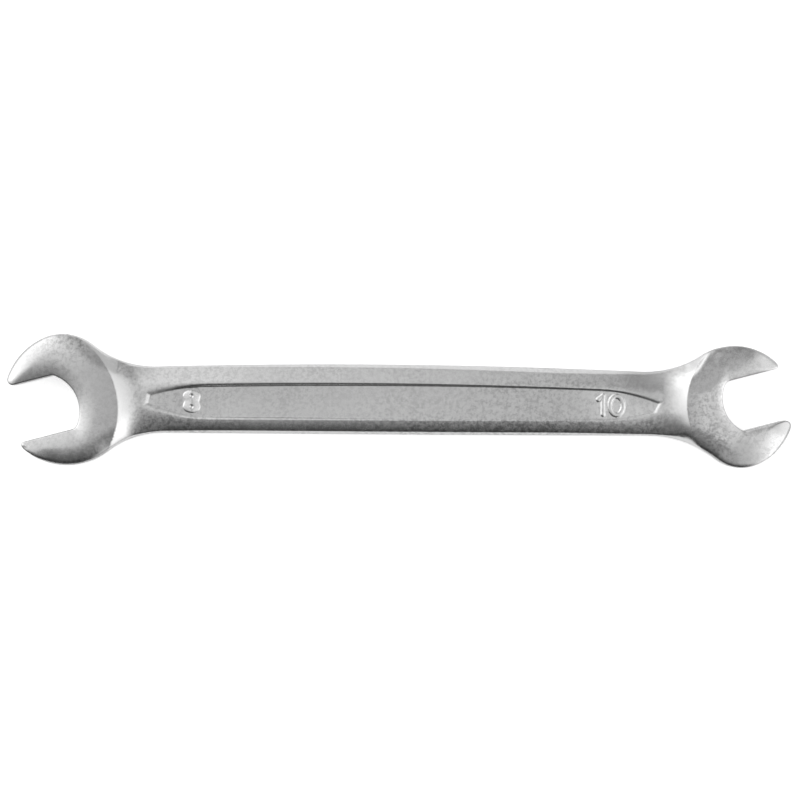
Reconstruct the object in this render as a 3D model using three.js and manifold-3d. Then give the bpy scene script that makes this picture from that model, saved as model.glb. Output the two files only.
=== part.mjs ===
// A double open end wrench, drop forged in one piece of steel. It lies flat on its two heads. The shank
// runs along X, the larger opening is at the low X end, and the faces look up and down along Z.
import * as THREE from 'three';
import { mergeVertices } from 'three/addons/utils/BufferGeometryUtils.js';
import Module from 'manifold-3d';

const wasm = await Module();
wasm.setup();

// Driving dimensions, in millimetres
const headSpacing = 131; // between the centres of the two heads
const headThickness = 5.5;
const neckThickness = 4.1;
const shankThickness = 4.7;
const jawAngle = THREE.MathUtils.degToRad(15); // of both slots, against the shank
const chordError = 0.02; // how far a facet may stand off its arc
const overrun = 1; // what a shape reaches past the surface that trims it

// The outline of each head. Its slot leans towards the short jaw, and the long jaw is on the other side.
const largeEnd = {
  opening: 11.1,
  slotShift: 0.27, // of the slot's centre line, towards the short jaw
  throatRadius: 7.35,
  throatDepth: 2.1, // behind the head's centre
  throatShift: 1, // of the throat's deepest point, towards the short jaw
  throatCorner: 1.5,
  shortJawRadius: 12.8,
  shortJawSetback: 0.05, // of that arc's centre, towards the shank
  shortTipRadius: 0.75,
  longJawRadius: 13.35,
  longJawSetback: 1,
  longJawBackRadius: 9,
  longTipRadius: 1.2,
  shortNeckRadius: 18.6,
  longNeckRadius: 20,
  stepRadius: 14.6, // the edge of the head's flat face, over the neck
  stepReach: 9.7, // from the head's centre to that edge, along the shank
  stepShift: 1.5, // of that arc's centre, towards the short jaw
};
const smallEnd = {
  opening: 10.1,
  slotShift: 0.1,
  throatRadius: 6.95,
  throatDepth: 2.4,
  throatShift: 0.55,
  throatCorner: 1.5,
  shortJawRadius: 11.9,
  shortJawSetback: 0.3,
  shortTipRadius: 0.75,
  longJawRadius: 12.45,
  longJawSetback: 0.95,
  longJawBackRadius: 7.8,
  longTipRadius: 1.2,
  shortNeckRadius: 21,
  longNeckRadius: 22,
  stepRadius: 15,
  stepReach: 9.6,
  stepShift: 0.8,
};
const backArcAngle = THREE.MathUtils.degToRad(-65); // where the long jaw's two arcs meet

// The crown of the heads' faces, and the hollow step from a face down to the neck
const crownWidth = 3.2;
const crownDrop = 0.8;
const stepWidth = 2.1;
const headSides = 80;

// The shank's two long edges, as heights over the line through both heads' centres
const edgeReach = 47; // where the necks' heights are given, either side of the middle
const upperEdge = { atLargeNeck: 6.8, atMiddle: 7.6, atSmallNeck: 6.7 };
const lowerEdge = { atLargeNeck: -6.27, atMiddle: -6.18, atSmallNeck: -5.92 };

// The shank's section: an upright land, a steep flank, and a rail that rounds over to the flat middle
const landThickness = 0.5;
const flankWidth = 1;
const railWidth = 3.6;
const railDrop = 0.8;
const railShares = [0.18, 0.42, 0.7, 1]; // of the way from the flank's crest to the flat
const shankInset = 6; // from a head's centre to where the shank ends inside it
const neckStart = 12; // from a head's centre to where the neck begins to thicken
const neckRun = 26;
const stationCount = 40;

// The sunk panel of each face
const panel = {
  depth: 0.45,
  wallWidth: 0.6,
  upperRail: 3.85,
  lowerRail: 2.95,
  noseLength: 11.5,
  noseHalfWidth: 1.05,
  largeReach: 49.7, // from the middle of the shank to the nose at each end
  smallReach: 50.3,
  largeNoseRise: 0.25, // of each nose, off the panel's own middle
  smallNoseRise: -0.55,
};
const panelStations = 40;

// The numerals that stand on the panel's floor
const numeral = {
  height: 4.35,
  width: 3.4,
  stroke: 0.72,
  rise: 0.3,
  bevel: 0.12,
  eightPlace: -41, // along the shank
  onePlace: 39.45,
  zeroPlace: 42.05,
  flagReach: 1.15,
  flagDrop: 0.95,
};
const numeralSides = 16;

const halfHead = headThickness / 2;
const halfNeck = neckThickness / 2;
const halfShank = shankThickness / 2;
const alongSlot = new THREE.Vector2(Math.cos(jawAngle), Math.sin(jawAngle));
const acrossSlot = new THREE.Vector2(-Math.sin(jawAngle), Math.cos(jawAngle));
const squareTurn = Math.PI / 2;

// Points on an arc, from one angle to another, either way round
function arcPoints(centre, radius, from, to) {
  const step = 2 * Math.acos(1 - chordError / radius);
  const count = Math.ceil(Math.abs(to - from) / step);
  return Array.from({ length: count + 1 }, (_, i) => {
    const angle = from + (to - from) * i / count;
    return new THREE.Vector2(Math.cos(angle), Math.sin(angle)).multiplyScalar(radius).add(centre);
  });
}

// Where a value that rises from low to high passes zero
function root(low, high, value) {
  let [below, above] = [low, high];
  for (let i = 0; i < 50; i++) {
    const middle = (below + above) / 2;
    if (value(middle) < 0) below = middle;
    else above = middle;
  }
  return above;
}

// A long edge of the shank is a shallow curve through its three named heights
function edgeHeight(edge, x) {
  const share = x / edgeReach;
  const tilt = (edge.atSmallNeck - edge.atLargeNeck) / 2;
  const bend = (edge.atSmallNeck + edge.atLargeNeck) / 2 - edge.atMiddle;
  return edge.atMiddle + tilt * share + bend * share * share;
}

// Each head is drawn round its own centre, with its mouth outwards along X and its short jaw on the plus Y
// side. The large head is that drawing given half a turn.
const turnOf = (end) => (end === largeEnd ? -1 : 1);
const toWorld = (end, p) => new THREE.Vector2(p.x + headSpacing / 2, p.y).multiplyScalar(turnOf(end));

// The fillet in the outline between a shank edge and a head's arc, by the short jaw at side 1 and by the
// long jaw at side -1
function neckFillet(end, side, radius, arcCentre, arcRadius) {
  const turn = turnOf(end);
  const edge = side * turn > 0 ? upperEdge : lowerEdge;
  const height = (u) => turn * edgeHeight(edge, turn * (u + headSpacing / 2));
  const outwards = (u) => {
    const slope = (height(u + chordError) - height(u - chordError)) / (2 * chordError);
    return new THREE.Vector2(-slope, 1).normalize().multiplyScalar(side);
  };
  const centreAt = (u) => outwards(u).multiplyScalar(radius).add(new THREE.Vector2(u, height(u)));
  const gap = (u) => arcRadius + radius - centreAt(u).distanceTo(arcCentre);
  const place = root(-headSpacing / 2, -arcRadius, gap);
  const centre = centreAt(place);
  return {
    centre,
    shankAngle: outwards(place).negate().angle(),
    headAngle: arcCentre.clone().sub(centre).angle(),
    arcAngle: centre.clone().sub(arcCentre).angle(),
  };
}

// The centre of a small arc that touches a line along the slot and, from inside, a larger arc
function cornerCentre(line, sign, radius, arcCentre, arcRadius, outwards) {
  const across = line + sign * radius;
  const rise = across - arcCentre.dot(acrossSlot);
  const along = arcCentre.dot(alongSlot) + outwards * Math.sqrt((arcRadius - radius) ** 2 - rise ** 2);
  return alongSlot.clone().multiplyScalar(along).addScaledVector(acrossSlot, across);
}

const angleFrom = (centre, point) => Math.atan2(point.y - centre.y, point.x - centre.x);

// The outline of one head, from the shank round the short jaw, the slot and the long jaw to the shank again
function headOutline(end) {
  const shortCentre = new THREE.Vector2(-end.shortJawSetback, 0);
  const shortFlat = end.slotShift + end.opening / 2;
  const longFlat = end.slotShift - end.opening / 2;
  const frontCentre = new THREE.Vector2(-end.longJawSetback, 0);
  const backDirection = new THREE.Vector2(Math.cos(backArcAngle), Math.sin(backArcAngle));
  const backCentre = frontCentre.clone()
    .addScaledVector(backDirection, end.longJawRadius - end.longJawBackRadius);
  const throatCentre = alongSlot.clone().multiplyScalar(end.throatRadius - end.throatDepth)
    .addScaledVector(acrossSlot, end.throatShift);

  const shortFillet = neckFillet(end, 1, end.shortNeckRadius, shortCentre, end.shortJawRadius);
  const longFillet = neckFillet(end, -1, end.longNeckRadius, backCentre, end.longJawBackRadius);
  const shortTip = cornerCentre(shortFlat, 1, end.shortTipRadius, shortCentre, end.shortJawRadius, 1);
  const longTip = cornerCentre(longFlat, -1, end.longTipRadius, frontCentre, end.longJawRadius, 1);
  const throatTurn = cornerCentre(shortFlat, -1, end.throatCorner, throatCentre, end.throatRadius, -1);

  const shortTipAngle = angleFrom(shortCentre, shortTip);
  const throatTurnEnd = angleFrom(throatCentre, throatTurn);
  const rootRise = throatCentre.dot(acrossSlot) - longFlat;
  const throatEnd = Math.PI + jawAngle + Math.asin(rootRise / end.throatRadius);
  const intoShort = jawAngle + squareTurn;
  const intoLong = jawAngle - squareTurn;
  const fullTurn = 2 * Math.PI;
  return [
    ...arcPoints(shortFillet.centre, end.shortNeckRadius, shortFillet.shankAngle, shortFillet.headAngle),
    ...arcPoints(shortCentre, end.shortJawRadius, shortFillet.arcAngle, shortTipAngle),
    ...arcPoints(shortTip, end.shortTipRadius, shortTipAngle, intoLong),
    ...arcPoints(throatTurn, end.throatCorner, intoShort, throatTurnEnd),
    ...arcPoints(throatCentre, end.throatRadius, throatTurnEnd, throatEnd),
    ...arcPoints(longTip, end.longTipRadius, intoShort, angleFrom(frontCentre, longTip)),
    ...arcPoints(frontCentre, end.longJawRadius, angleFrom(frontCentre, longTip), backArcAngle),
    ...arcPoints(backCentre, end.longJawBackRadius, backArcAngle, longFillet.arcAngle - fullTurn),
    ...arcPoints(longFillet.centre, end.longNeckRadius, longFillet.headAngle, longFillet.shankAngle),
  ].map((point) => toWorld(end, point));
}

// The outline of the whole forging, once round
function forgingOutline() {
  const small = headOutline(smallEnd);
  const large = headOutline(largeEnd);
  const edgeBetween = (edge, from, to) => {
    return Array.from({ length: stationCount - 1 }, (_, i) => {
      const x = THREE.MathUtils.lerp(from.x, to.x, (i + 1) / stationCount);
      return new THREE.Vector2(x, edgeHeight(edge, x));
    });
  };
  const points = [
    ...small,
    ...edgeBetween(lowerEdge, small.at(-1), large[0]),
    ...large,
    ...edgeBetween(upperEdge, large.at(-1), small[0]),
  ];
  return points.filter((point, i) => point.distanceTo(points.at(i - 1)) > chordError);
}

// A closed solid for cutting and joining
function solid(geometry) {
  const bare = geometry.clone();
  bare.deleteAttribute('normal');
  bare.deleteAttribute('uv');
  const merged = mergeVertices(bare);
  return new wasm.Manifold(new wasm.Mesh({
    numProp: 3,
    vertProperties: merged.attributes.position.array,
    triVerts: Uint32Array.from(merged.index.array),
  }));
}

// A skin over rings that all have as many points, each ring in a plane square to X, closed at both ends
function loft(rings) {
  const size = rings[0].length;
  const face = rings.map((ring) => ring.map((p) => new THREE.Vector2(p.y, p.z)));
  const triangles = [];
  for (let i = 0; i + 1 < rings.length; i++) {
    for (let j = 0; j < size; j++) {
      const next = (j + 1) % size;
      const [a, b] = [i * size + j, i * size + next];
      triangles.push(a, b, a + size, b, b + size, a + size);
    }
  }
  const last = (rings.length - 1) * size;
  THREE.ShapeUtils.triangulateShape(face[0], []).forEach(([a, b, c]) => triangles.push(c, b, a));
  THREE.ShapeUtils.triangulateShape(face.at(-1), []).forEach(([a, b, c]) => {
    triangles.push(last + a, last + b, last + c);
  });
  const geometry = new THREE.BufferGeometry().setFromPoints(rings.flat());
  geometry.setIndex(triangles);
  return geometry;
}

// A solid of revolution about an upright axis, from half a profile that runs out from the axis and down
function turned(profile, centre) {
  const below = profile.map((p) => new THREE.Vector2(p.x, -p.y));
  const geometry = new THREE.LatheGeometry([...below, ...profile.toReversed()], headSides);
  geometry.rotateX(squareTurn);
  geometry.translate(centre.x, centre.y, 0);
  return solid(geometry);
}

// A head's thickness: a flat face, crowned towards the outline and ending in a hollow step over the neck
function headSolid(end) {
  const flatRadius = end.shortJawRadius - crownWidth;
  const crownSteps = 6;
  const crown = Array.from({ length: crownSteps + 1 }, (_, i) => {
    const out = (crownWidth + overrun) * i / crownSteps;
    return new THREE.Vector2(flatRadius + out, halfHead - crownDrop * (out / crownWidth) ** 2);
  });
  const stepDrop = halfHead - halfNeck + chordError;
  const stepSteps = 6;
  const step = Array.from({ length: stepSteps + 1 }, (_, i) => {
    const share = i / stepSteps;
    return new THREE.Vector2(end.stepRadius + stepWidth * share, halfHead - stepDrop * share * (2 - share));
  });
  const aboveStep = new THREE.Vector2(end.stepRadius - overrun, halfHead + overrun);
  const stepCentre = new THREE.Vector2(end.stepRadius - end.stepReach, end.stepShift);
  const onAxis = (p) => new THREE.Vector2(0, p.y);
  const crowned = turned([onAxis(crown[0]), ...crown], toWorld(end, new THREE.Vector2()));
  const stepped = turned([onAxis(aboveStep), aboveStep, ...step], toWorld(end, stepCentre));
  return crowned.intersect(stepped);
}

// Half the thickness of the shank over its flat middle, which grows from each neck
function crest(x) {
  const fromHead = headSpacing / 2 - Math.abs(x);
  const share = THREE.MathUtils.smoothstep(fromHead, neckStart, neckStart + neckRun);
  return THREE.MathUtils.lerp(halfNeck, halfShank, share);
}

// The height of an outline at a place along the shank
function heightOn(line, x) {
  const i = Math.max(1, line.findIndex((p) => p.x >= x));
  const share = (x - line[i - 1].x) / (line[i].x - line[i - 1].x);
  return THREE.MathUtils.lerp(line[i - 1].y, line[i].y, share);
}

// The shank with both necks, from inside one head to inside the other
function shankSolid(outline) {
  const reach = headSpacing / 2 - shankInset;
  const near = outline.filter((p) => Math.abs(p.x) < reach + overrun).sort((p, q) => p.x - q.x);
  const upper = near.filter((p) => p.y > 0);
  const lower = near.filter((p) => p.y < 0);
  const rings = Array.from({ length: stationCount + 1 }, (_, i) => {
    const x = reach * Math.sin(squareTurn * (2 * i / stationCount - 1));
    const rail = (d) => crest(x) - railDrop * (1 - d / railWidth) ** 2;
    const flank = (d) => landThickness / 2 + d * halfShank / flankWidth;
    const shoulder = root(0, railWidth, (d) => flank(d) - rail(d));
    const side = [[-overrun, flank(0)], [0, flank(0)], [shoulder, rail(shoulder)]];
    for (const share of railShares) {
      const d = THREE.MathUtils.lerp(shoulder, railWidth, share);
      side.push([d, rail(d)]);
    }
    const top = heightOn(upper, x);
    const bottom = heightOn(lower, x);
    const above = [
      ...side.map(([d, z]) => new THREE.Vector3(x, bottom + d, z)),
      ...side.toReversed().map(([d, z]) => new THREE.Vector3(x, top - d, z)),
    ];
    const below = above.map((p) => new THREE.Vector3(p.x, p.y, -p.z));
    return [...above.toReversed(), ...below];
  });
  return solid(loft(rings));
}

// The middle line and half the width of the panel, and how much of its depth it has, at a place along it
function panelAt(x) {
  const upper = edgeHeight(upperEdge, x) - panel.upperRail;
  const lower = edgeHeight(lowerEdge, x) + panel.lowerRail;
  const fromLarge = x + panel.largeReach;
  const fromSmall = panel.smallReach - x;
  const [fromNose, rise] = fromLarge < fromSmall
    ? [fromLarge, panel.largeNoseRise] : [fromSmall, panel.smallNoseRise];
  const nose = Math.max(0, 1 - fromNose / panel.noseLength) ** 2;
  return {
    middle: (upper + lower) / 2 + rise * nose,
    half: THREE.MathUtils.lerp((upper - lower) / 2, panel.noseHalfWidth, nose),
    sunk: Math.min(1, fromNose / panel.wallWidth),
  };
}

// What the panel takes away, from the upper face at side 1 or the lower one at side -1
function panelSolid(side) {
  const rings = Array.from({ length: panelStations + 1 }, (_, i) => {
    const share = (1 - Math.cos(Math.PI * i / panelStations)) / 2;
    const x = THREE.MathUtils.lerp(chordError - panel.largeReach, panel.smallReach - chordError, share);
    const { middle, half, sunk } = panelAt(x);
    const floor = half - panel.wallWidth * sunk;
    const ring = [[-half, overrun], [-half, 0], [-floor, -panel.depth * sunk], [floor, -panel.depth * sunk],
      [half, 0], [half, overrun]].map(([y, z]) => new THREE.Vector3(x, middle + y, side * (crest(x) + z)));
    return side > 0 ? ring : ring.toReversed();
  });
  return solid(loft(rings));
}

// One numeral's solid, standing on the floor of the panel of one face
function raised(shape, place, side) {
  const depth = panel.depth + numeral.rise - 2 * numeral.bevel;
  const geometry = new THREE.ExtrudeGeometry(shape, {
    depth,
    curveSegments: numeralSides,
    bevelSegments: 1,
    bevelSize: numeral.bevel,
    bevelOffset: -numeral.bevel,
    bevelThickness: numeral.bevel,
  });
  geometry.translate(0, 0, crest(place) - 2 * panel.depth + numeral.bevel);
  if (side < 0) geometry.rotateX(Math.PI);
  geometry.translate(place, panelAt(place).middle, 0);
  return solid(geometry);
}

function loop(width, height, rise) {
  const shape = new THREE.Shape().absellipse(0, rise, width / 2, height / 2, 0, 2 * Math.PI);
  const hole = new THREE.Path()
    .absellipse(0, rise, width / 2 - numeral.stroke, height / 2 - numeral.stroke, 0, 2 * Math.PI);
  shape.holes.push(hole);
  return shape;
}

function numeralSolids(side) {
  const { height, width, stroke, flagReach, flagDrop } = numeral;
  const halfLoop = (height + stroke) / 2;
  const rise = (height - halfLoop) / 2;
  const one = new THREE.Shape([
    new THREE.Vector2(-stroke / 2, -height / 2),
    new THREE.Vector2(stroke / 2, -height / 2),
    new THREE.Vector2(stroke / 2, height / 2),
    new THREE.Vector2(-stroke / 2, height / 2),
    new THREE.Vector2(-flagReach, height / 2 - flagDrop),
    new THREE.Vector2(-flagReach, height / 2 - flagDrop - stroke / 2),
    new THREE.Vector2(-stroke / 2, height / 2 - stroke),
  ]);
  return [
    raised(loop(width, halfLoop, rise), numeral.eightPlace, side),
    raised(loop(width, halfLoop, -rise), numeral.eightPlace, side),
    raised(one, numeral.onePlace, side),
    raised(loop(width, height, 0), numeral.zeroPlace, side),
  ];
}

// The forging: its outline struck through the full thickness, trimmed to the form of the heads and shank
const outline = forgingOutline();
const blankGeometry = new THREE.ExtrudeGeometry(new THREE.Shape(outline), {
  depth: headThickness + 2 * overrun,
  bevelEnabled: false,
});
blankGeometry.translate(0, 0, -halfHead - overrun);
let forging = headSolid(largeEnd).add(headSolid(smallEnd)).add(shankSolid(outline));
forging = forging.intersect(solid(blankGeometry));
for (const side of [1, -1]) {
  forging = forging.subtract(panelSolid(side));
  for (const figure of numeralSolids(side)) forging = forging.add(figure);
}

const { vertProperties, triVerts } = forging.getMesh();
const geometry = new THREE.BufferGeometry();
geometry.setAttribute('position', new THREE.BufferAttribute(vertProperties, 3));
geometry.setIndex(new THREE.BufferAttribute(triVerts, 1));
geometry.computeVertexNormals();
geometry.computeBoundingBox();

const wrench = new THREE.Mesh(geometry, new THREE.MeshStandardMaterial({
  name: 'satin chrome on forged steel',
  color: 0xb9bab8,
  metalness: 1,
  roughness: 0.38,
  flatShading: true,
}));
wrench.name = 'wrench_forging';

// The wrench lies on the ground plane, with the middle of its box over the origin
const centre = geometry.boundingBox.getCenter(new THREE.Vector3());
wrench.position.set(-centre.x, -centre.y, -geometry.boundingBox.min.z);

const group = new THREE.Group();
group.add(wrench);

export default group;
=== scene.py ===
# A double open end wrench, forged in one and plated in satin chrome, lying on a white table under a camera
# that looks straight down. Lengths are in millimetres until a mesh is filled, and X runs along the shank.
import itertools
import math

import bpy
import numpy as np
from mathutils.geometry import delaunay_2d_cdt
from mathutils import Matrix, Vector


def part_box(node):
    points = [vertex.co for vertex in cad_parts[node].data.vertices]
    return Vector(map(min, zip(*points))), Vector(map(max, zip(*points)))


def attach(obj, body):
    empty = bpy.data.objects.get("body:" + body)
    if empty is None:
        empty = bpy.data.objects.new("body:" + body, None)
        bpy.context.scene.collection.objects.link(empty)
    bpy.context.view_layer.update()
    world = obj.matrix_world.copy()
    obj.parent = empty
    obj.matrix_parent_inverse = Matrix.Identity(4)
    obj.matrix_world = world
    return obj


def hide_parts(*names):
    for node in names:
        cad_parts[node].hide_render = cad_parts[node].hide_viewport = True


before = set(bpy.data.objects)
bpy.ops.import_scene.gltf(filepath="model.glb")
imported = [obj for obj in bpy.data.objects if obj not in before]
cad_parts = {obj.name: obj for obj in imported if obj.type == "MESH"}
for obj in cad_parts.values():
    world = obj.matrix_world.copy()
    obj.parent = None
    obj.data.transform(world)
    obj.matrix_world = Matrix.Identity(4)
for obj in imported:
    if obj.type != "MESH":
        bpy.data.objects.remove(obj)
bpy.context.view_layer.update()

perMetre = 1000  # millimetres
rampInputs = ("From Min", "From Max", "To Min", "To Max")

wrench = {
    "headSpacing": 131.0,               # between the centres of the two heads
    "halfHead": 2.75,                   # half the thickness of a head
    "halfShank": 2.35,                  # half the thickness of the shank's middle
    "leastHalf": 0.02,                  # the surface never comes nearer to the middle plane
    "jawAngle": math.radians(15),       # of both slots, off the shank
    "backArcAngle": math.radians(-65),  # where a long jaw's two arcs meet
    "arcOverrun": 0.25,                 # radians that a jaw's arc runs on past its tip, to measure from
    "edgeReach": 47.0,                  # either side of the middle, where an edge's outer heights are given
    "upperEdge": (6.8, 7.6, 6.7),
    "lowerEdge": (-6.27, -6.18, -5.92),
    "neckStart": 12.0,                  # from a head's centre to where the neck begins to thicken
    "neckRun": 26.0,
    "inset": 0.02,                      # keeps the finer arcs inside the solid's chords
    "blendHalf": 3.0,                   # this near the middle line the lower side turns into the upper side
    "span": (-30.0, 30.0),              # where the two values of a rail or flank hold, left and right
    "upperRailWidth": (3.6, 4.6),       # a rail rounds over from the flank to the flat middle
    "upperRailDrop": (1.3, 1.15),
    "lowerRailWidth": (3.7, 4.2),
    "lowerRailDrop": 1.12,
    "neckRailRun": (14.0, 28.0),        # from a head's centre, where the neck's rail becomes the lower rail
    "railSteepest": 0.6,                # the most that a rail slopes
    "railSoft": 0.3,                    # rounds the crease between rail and flank
    "railSoftLoss": 0.65,               # the share of that rounding which is lost beside a face
    "landHalf": 0.25,                   # the flank starts this far off the middle plane
    "flankSlope": 2.4,                  # and climbs this steeply from the lower edge
    "upperFlankSlope": (2.4, 1.2),
    "flankRun": (10.0, 15.5),           # from a head's centre, where the neck's flank turns into the shank's
    "landRun": 4.6,                     # beside a face the flank turns over this run into the face's bevel
    "bevelWidth": 0.55,                 # which is this wide, and this much steeper than the face's own crown
    "bevelSlope": 0.42,
    "creaseDepth": 0.07,                # a fine groove along the flank's upper edge at each neck
    "creaseSpread": 0.224,
    "creaseRun": (10.5, 14.5),          # from a head's centre, where it fades out
    "edgeRound": 0.3,
    "roundFull": 1.0,                   # half the thickness that an edge needs to be rounded in full
    "roundLeast": 0.4,                  # the share of the rounding that a thinner edge keeps
    "slotRound": 0.32,
    "stepSoft": 0.05,                   # rounds the crease between a ramp and a face's arc
    "stepWall": 2.5,                    # how steeply a face ends past its arc
    "crownFades": (                     # where a face's crown fades: centre, radius and share
        (-74.0, -9.6, 6.5, 0.85),
        (73.0, 8.5, 6.0, 0.4),
        (69.0, -12.0, 8.0, 0.75),
        (66.5, 11.5, 6.5, 0.5),
        (59.0, 10.0, 5.0, 0.8),
    ),
    "crownFadeShare": 0.6,              # of such a radius, over which the crown fades
}

# Each head is drawn with its mouth towards +X and its short jaw towards +Y, and turned by its sign. The two
# values of a pair hold along the lower edge and the upper one, but a face's painted shade, which stands in
# for darker reflections, by its arc and well inside it.
largeEnd = {
    "turn": -1, "opening": 11.1, "slotShift": 0.27,
    "throatRadius": 7.35, "throatDepth": 2.1, "throatShift": 1.0, "throatCorner": 1.5,
    "shortJawRadius": 12.8, "shortJawSetback": 0.05, "shortTipRadius": 0.75,
    "longJawRadius": 13.35, "longJawSetback": 1.0, "longJawBackRadius": 9.0, "longTipRadius": 1.2,
    "shortNeckRadius": 18.6, "longNeckRadius": 20.0,
    "stepRadius": 16.6, "stepReach": 10.15, "stepShift": 2.0,  # the arc that ends the face over the neck
    "stepWidth": 4.8, "stepHollow": 0.75,                      # the ramp below it, and how hollow it is
    "halfNeck": 2.05, "rampBlend": (2.6, 2.6),
    "neckLand": (0.1, 0.6), "neckFlank": (1.5, 0.8), "landStart": (8.8, 5.4),
    "neckRailWidth": 6.0, "neckRailDrop": 1.2,
    "crownWidth": 3.6, "crownDrop": 0.88, "slotCrownWidth": 3.4, "slotCrownDrop": 0.44,
    "facePaintedShade": (1.0, 0.6), "facePaintedShadeRun": 8.0,
}
smallEnd = {
    "turn": 1, "opening": 10.1, "slotShift": 0.1,
    "throatRadius": 6.95, "throatDepth": 2.4, "throatShift": 0.55, "throatCorner": 1.5,
    "shortJawRadius": 11.9, "shortJawSetback": 0.3, "shortTipRadius": 0.75,
    "longJawRadius": 12.45, "longJawSetback": 0.95, "longJawBackRadius": 7.8, "longTipRadius": 1.2,
    "shortNeckRadius": 21.0, "longNeckRadius": 22.0,
    "stepRadius": 14.53, "stepReach": 9.68, "stepShift": 0.52,
    "stepWidth": 5.0, "stepHollow": 0.9,
    "halfNeck": 1.9, "rampBlend": (2.0, 3.0),
    "neckLand": (0.0, 0.2), "neckFlank": (1.2, 0.9), "landStart": (6.6, 5.3),
    "neckRailWidth": 5.2, "neckRailDrop": 1.15,
    "crownWidth": 4.0, "crownDrop": 0.9, "slotCrownWidth": 1.4, "slotCrownDrop": 0.15,
    "facePaintedShade": (0.8, 0.0), "facePaintedShadeRun": 4.0,
}

# How finely the surface is divided. The rows beside a ramp's foot are measured from that foot.
meshing = {
    "arcSpacing": 0.3,
    "arcShare": 0.16,          # of a small arc's radius, between its points
    "edgeSpacing": 0.35,
    "slotSpacing": 0.3,
    "ringOffsets": (0.02, 0.06, 0.12, 0.2, 0.31, 0.45, 0.62, 0.82, 1.05, 1.35, 1.7, 2.1),
    "ringShare": 0.93,         # of its offset that a ring's point keeps clear of the whole outline
    "stepOffsets": (-0.5, -0.25, -0.1, 0, 0.1, 0.22, 0.4, 0.65, 0.95, 1.3, 1.7, 2.1),
    "footOffsets": (-0.3, 0, 0.3),
    "stepHalfAngle": 1.1,      # radians
    "stepSpacing": 0.32,
    "stepClear": 0.3,          # from the outline, as all that end in Clear
    "wallOffsets": (-0.3, -0.14, -0.05, 0.04, 0.14, 0.28, 0.42, 0.5, 0.58, 0.7, 0.9),
    "wallSpacing": 0.32,
    "noseCount": 12,
    "wallClear": 1.0,
    "numeralBoxes": ((-43.1, -38.9), (37.7, 44.1)),
    "numeralHalf": 2.6,
    "numeralSpacing": 0.085,
    "numeralClear": 1.0,
    "gridReach": (78.0, 14.0),
    "gridSpacing": (0.46, 0.4),
    "gridClear": 2.25,
    "gridGap": (-0.5, 1.1),    # the even grid leaves this band along the panel's wall to the rows beside it
    "samePlace": 1e-3,         # points of the outline nearer than this count as one
    "weld": 1e-5,              # and points of the plan nearer than this become one
    "onEdge": 0.1,             # a border point this near to an edge counts as on it
    "block": 3000,             # points that are measured at a time
}


def polar(angle):
    # (cos a, sin a)
    return np.stack([np.cos(angle), np.sin(angle)], -1)


def arc(centre, radius, start, stop, spacing=meshing["arcSpacing"]):
    # centre + radius (cos a, sin a), with a going evenly from start to stop
    spacing = min(spacing, meshing["arcShare"] * radius)
    count = max(2, math.ceil(abs(stop - start) * radius / spacing))
    return np.asarray(centre) + radius * polar(np.linspace(start, stop, count + 1))


def edgeHeight(edge, x):
    # a parabola through the three named heights of a shank edge
    large, middle, small = edge
    share = x / wrench["edgeReach"]
    return middle + (small - large) / 2 * share + ((small + large) / 2 - middle) * share ** 2


def angleOf(centre, point):
    # the direction from a centre to a point, as atan2(dy, dx)
    return math.atan2(point[1] - centre[1], point[0] - centre[0])


def fillet(end, side, radius, centre, arcRadius):
    # A circle that touches a shank edge and the outside of a head's arc: its centre stands one radius off
    # the edge, and the stretch of edge that holds its place is halved until the two circles touch. Given are
    # its centre, its angles towards the shank and the head, and the angle on the head where they touch.
    turn, half = end["turn"], wrench["headSpacing"] / 2
    edge = wrench["upperEdge"] if side * turn > 0 else wrench["lowerEdge"]
    nudge, halvings = 0.01, 50

    def height(u):
        return turn * edgeHeight(edge, turn * (u + half))

    def centreAt(u):
        slope = (height(u + nudge) - height(u - nudge)) / (2 * nudge)
        out = side * np.array([-slope, 1.0]) / math.hypot(slope, 1)
        return np.array([u, height(u)]) + radius * out, out

    low, high = -half, -arcRadius
    for _ in range(halvings):
        place = (low + high) / 2
        gap = arcRadius + radius - np.linalg.norm(centreAt(place)[0] - centre)
        low, high = (place, high) if gap < 0 else (low, place)
    middle, out = centreAt(high)
    toShank = math.atan2(-out[1], -out[0])
    return middle, toShank, angleOf(middle, centre), angleOf(centre, middle)


def corner(line, sign, radius, centre, arcRadius, outwards):
    # the centre of a small arc between a line along the slot and a larger arc round it
    along, across = polar(wrench["jawAngle"]), polar(wrench["jawAngle"] + math.pi / 2)
    rise = line + sign * radius - centre @ across
    reach = centre @ along + outwards * math.sqrt((arcRadius - radius) ** 2 - rise ** 2)
    return reach * along + (line + sign * radius) * across


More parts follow.
